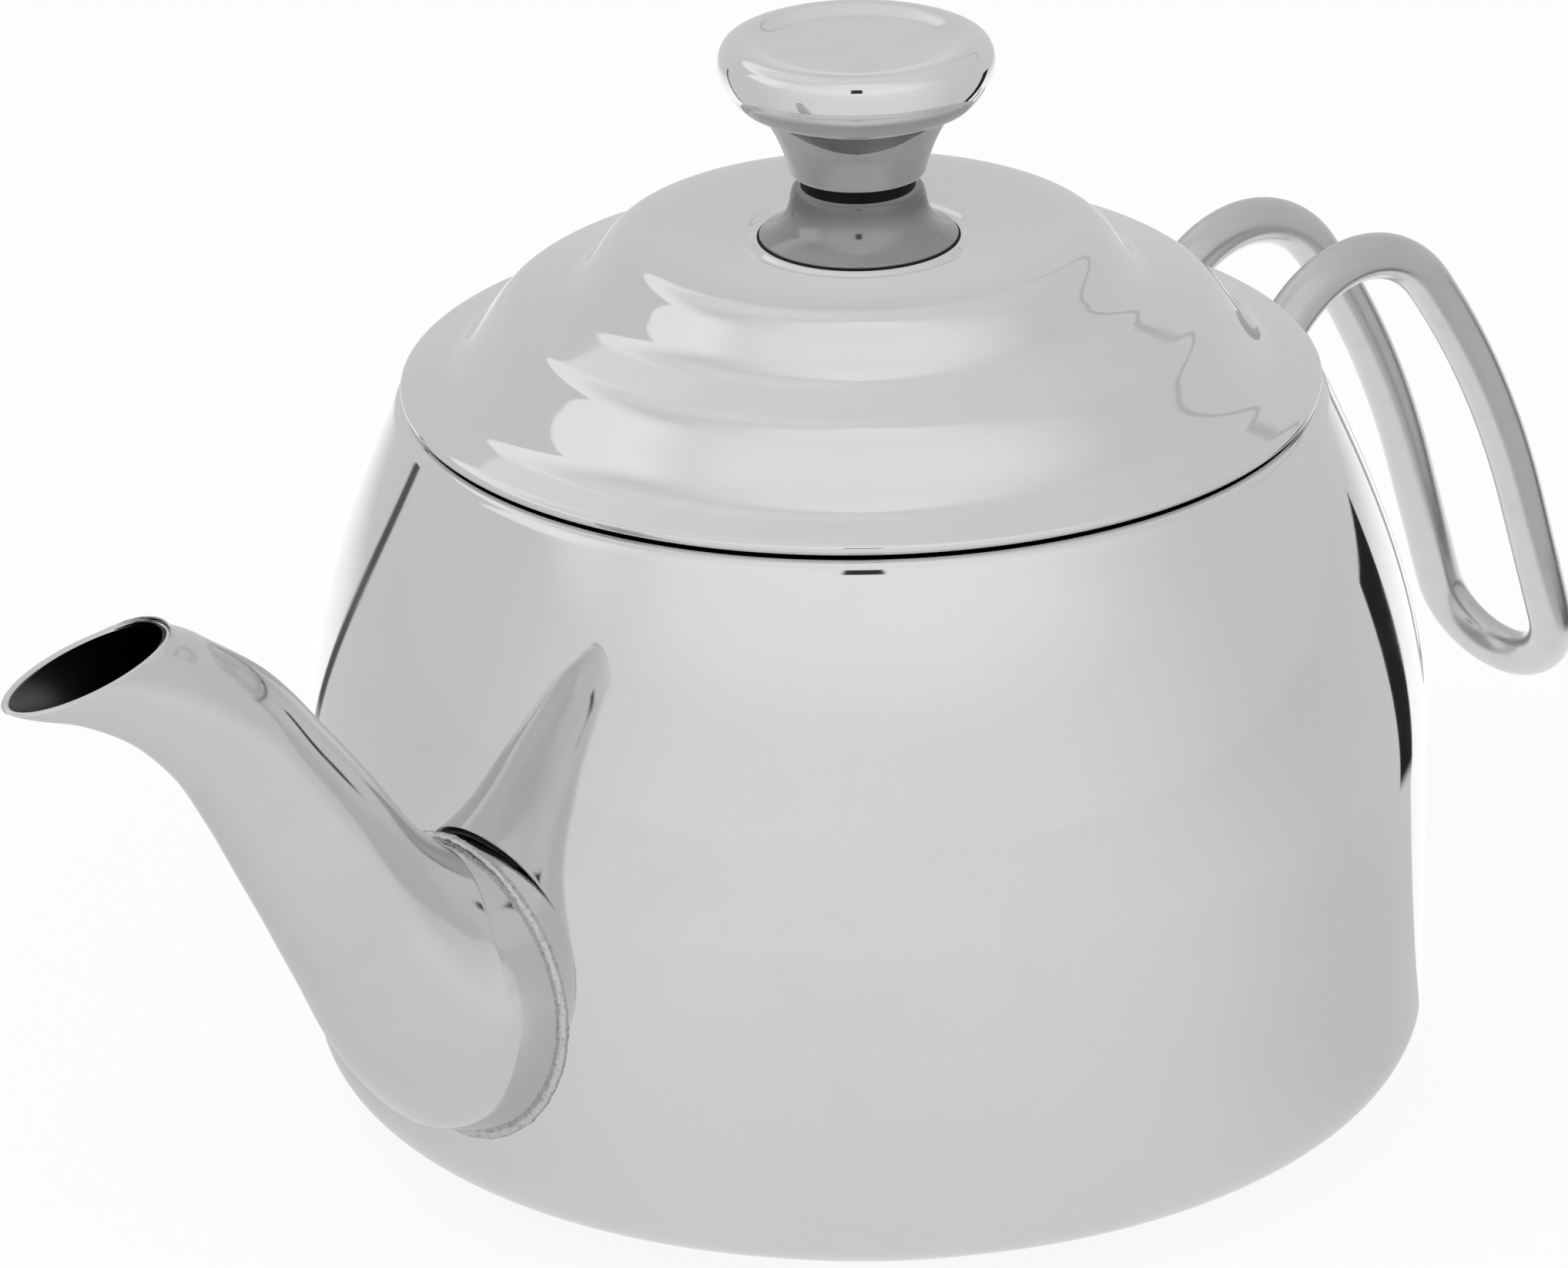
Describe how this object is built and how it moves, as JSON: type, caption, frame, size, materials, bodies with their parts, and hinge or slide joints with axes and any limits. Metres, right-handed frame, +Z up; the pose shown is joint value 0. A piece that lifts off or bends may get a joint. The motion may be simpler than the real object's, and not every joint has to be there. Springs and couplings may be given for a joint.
{
  "type": "teapot",
  "caption": "Polished steel teapot: round pot on a heat disc, swelling welded spout, bent-rod loop handle and stepped lift-off lid with a turned knob.",
  "frame": {"origin": "centre of the foot's underside", "axes": "+Z up through the knob; the spout points along -X and the handle along +X"},
  "size_m": [0.262, 0.1394, 0.1354],
  "materials": {
    "polished_steel": "mirror-polished sheet steel",
    "satin_steel": "satin rod and weld metal",
    "core_aluminium": "plain, sealed inside the foot",
    "black_seal": "matt black"
  },
  "bodies": {
    "pot": {"body_shell": "polished_steel", "spout": "polished_steel", "spout_weld": "satin_steel", "base_core": "core_aluminium", "base_cap": "polished_steel", "handle_rod": "satin_steel", "handle_weld_left": "satin_steel", "handle_weld_right": "satin_steel"},
    "lid": {"lid_shell": "polished_steel", "lid_locating_ring": "polished_steel", "lid_ring_welds": "satin_steel", "knob_screw": "satin_steel", "knob_screw_washer": "satin_steel", "knob_foot_gasket": "black_seal", "knob_collar": "polished_steel", "knob_insulator": "black_seal", "knob_head": "polished_steel"}
  },
  "joints": [
    {"name": "lid_lift", "type": "slide", "parent": "pot", "child": "lid", "axis": [0, 0, 1], "range_m": [0, 0.15]}
  ]
}
